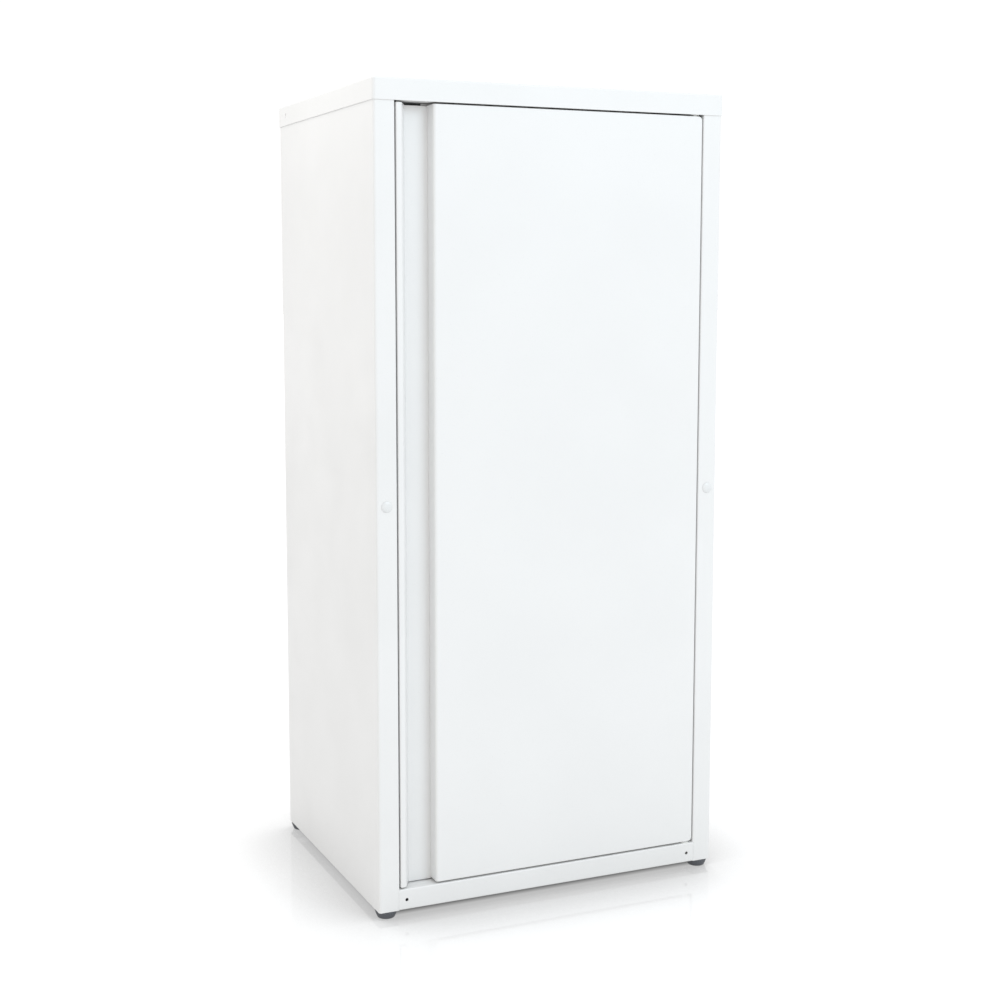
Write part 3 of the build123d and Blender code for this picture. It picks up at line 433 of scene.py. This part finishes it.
def pin_spring():
    """Spring under the upper hinge pin's collar: closed end turns, shortened as the pin draws down."""
    bm = bmesh.new()
    turns, per_turn, sides, coil, wire = 10, 32, 10, 3.1 * MM, 0.35 * MM
    end_turn, end_pitch = 0.9, 0.72 * MM
    up = Vector((0, 0, 1))
    rings = []
    for step in range(turns * per_turn + 1):
        turn = step / per_turn
        share = ramp((turn - end_turn) / (turns - 2 * end_turn))
        closed = end_pitch * (min(turn, end_turn) + max(0, turn - turns + end_turn))
        z = SPRING_LOW + closed + share * (SPRING_HIGH - SPRING_LOW - 2 * end_pitch * end_turn)
        out = Vector((math.cos(math.tau * turn), math.sin(math.tau * turn), 0))
        centre = Vector((PIN_X, PIN_Y, z)) + out * coil
        ring = []
        for side in range(sides):
            angle = math.tau * side / sides
            ring.append(bm.verts.new(centre + (out * math.cos(angle) + up * math.sin(angle)) * wire))
        rings.append(ring)
    for lower, upper in zip(rings, rings[1:]):
        for side in range(sides):
            after = (side + 1) % sides
            bm.faces.new((lower[side], lower[after], upper[after], upper[side]))
    bm.faces.new(rings[0])
    bm.faces.new(rings[-1])
    spring = finished("pin_spring_detailed", bm, "zinc_steel", "door", "hinge_pin_spring")
    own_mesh(spring)


def detail():
    """All the pieces that take the place of plain CAD nodes."""
    strip_screws()
    cap_screws()
    back_rivets()
    pin_spring()
    for side_name in ("left", "right"):
        stile_plug(side_name)
        for end_name in ("front", "rear"):
            name = f"{end_name}_{side_name}_foot"
            at = middle(f"{name}_pad")
            place = Matrix.Translation((at.x, at.y, 0))
            foot_pad(name, place)
            foot_stem(name, place)


# ---------------------------------------------------------------- stage
def pale_floor():
    """A wide glossy grey sheet with a little painted glow outside the cabinet's footprint, none under the
    cabinet, where that leaves a painted shadow, and a painted contact shadow that darkens it close to the
    cabinet.
    """
    finish = Finish("studio_floor", (0.42, 0.42, 0.42), 0.06, Specular_IOR_Level=0.40)
    # painted light: the floor emits light outside the cabinet's footprint and none under it, a painted
    # glow with a painted shadow beneath the cabinet
    finish.shader.inputs["Emission Color"].default_value = (1, 1, 1, 1)
    distances = finish.node("VectorMath", {0: finish.place}, operation="ABSOLUTE").outputs["Vector"]
    across = finish.node("SeparateXYZ", {"Vector": distances})
    beside = finish.spread(across.outputs["X"], *PAINTED_GLOW_BESIDE)
    before = finish.spread(across.outputs["Y"], *PAINTED_GLOW_BEFORE)
    outside = finish.node("Math", {0: beside, 1: before}, operation="MAXIMUM").outputs["Value"]
    glow = finish.spread(outside, 0.0, 1.0, 0.0, FLOOR_PAINTED_GLOW)
    finish.links.new(glow, finish.shader.inputs["Emission Strength"])
    backwards = (0, 0.98, 0.2)  # turns the painted contact shadow so it darkens the floor in front of the cabinet and not the floor behind
    # painted shadow: the ambient-occlusion values at which the painted contact shadow is full and where it
    # ends
    painted_shadow_full, painted_shadow_none = 0.47, 0.95
    inputs = {"Distance": PAINTED_SHADOW_REACH, "Normal": backwards}
    painted_shadow_ao = finish.node("AmbientOcclusion", inputs, samples=8).outputs["AO"]
    painted_shadow_clear = finish.spread(painted_shadow_ao, painted_shadow_full, painted_shadow_none)
    cloud = finish.spread(finish.noise(600 * MM, 1.0), 0.0, 1.0)
    lit = finish.mixed(cloud, *FLOOR_GREYS)
    mesh = bpy.data.meshes.new("studio_floor")
    corners = [(x * FLOOR_REACH, y * FLOOR_REACH, 0) for x, y in ((-1, -1), (1, -1), (1, 1), (-1, 1))]
    mesh.from_pydata(corners, [], [(0, 1, 2, 3)])
    # painted contact shadow: the floor's grey is mixed towards black where the cabinet is close
    mesh.materials.append(finish.done(finish.mixed(painted_shadow_clear, (0.0, 0.0, 0.0), lit)))
    floor = bpy.data.objects.new("studio_floor", mesh)
    bpy.context.scene.collection.objects.link(floor)


def soft_box(name, at, aim, size, power, colour):
    """An area light at a place, turned to a point."""
    light = bpy.data.lights.new(name, "AREA")
    light.shape = "RECTANGLE"
    light.size, light.size_y = size
    light.energy = power
    light.color = colour
    lamp = bpy.data.objects.new(name, light)
    lamp.location = at
    lamp.rotation_mode = "QUATERNION"
    lamp.rotation_quaternion = (Vector(aim) - Vector(at)).to_track_quat("-Z", "Y")
    lamp.visible_camera = False
    bpy.context.scene.collection.objects.link(lamp)


def studio():
    """White surroundings, a cool key light from the front right and a faint light over the left side."""
    world = bpy.data.worlds.new("studio")
    bpy.context.scene.world = world
    world.use_nodes = True
    background = world.node_tree.nodes["Background"]
    background.inputs["Color"].default_value = (1, 1, 1, 1)
    background.inputs["Strength"].default_value = SKY_STRENGTH
    soft_box("key", KEY_AT, KEY_AIM, KEY_SIZE, KEY_POWER, KEY_COLOUR)
    soft_box("side_light", SIDE_AT, SIDE_AIM, SIDE_SIZE, SIDE_POWER, SIDE_COLOUR)
    view = bpy.context.scene.view_settings
    view.view_transform = "Standard"
    view.look = "None"


def camera():
    """Looks at the closed door and the left side, slightly downwards, from below the cabinet's top."""
    data = bpy.data.cameras.new("camera")
    data.sensor_width = CAMERA_SENSOR
    data.lens = CAMERA_LENS
    data.shift_x, data.shift_y = CAMERA_SHIFT
    data.clip_start, data.clip_end = CAMERA_CLIP
    made = bpy.data.objects.new("camera", data)
    turn, dip = math.radians(CAMERA_TURN), math.radians(CAMERA_DIP)
    ahead = Vector((math.sin(turn) * math.cos(dip), math.cos(turn) * math.cos(dip), -math.sin(dip)))
    made.location = CAMERA_AT
    made.rotation_mode = "QUATERNION"
    made.rotation_quaternion = ahead.to_track_quat("-Z", "Y")
    bpy.context.scene.collection.objects.link(made)
    bpy.context.scene.camera = made


dress_cad_nodes()
detail()
pale_floor()
studio()
camera()
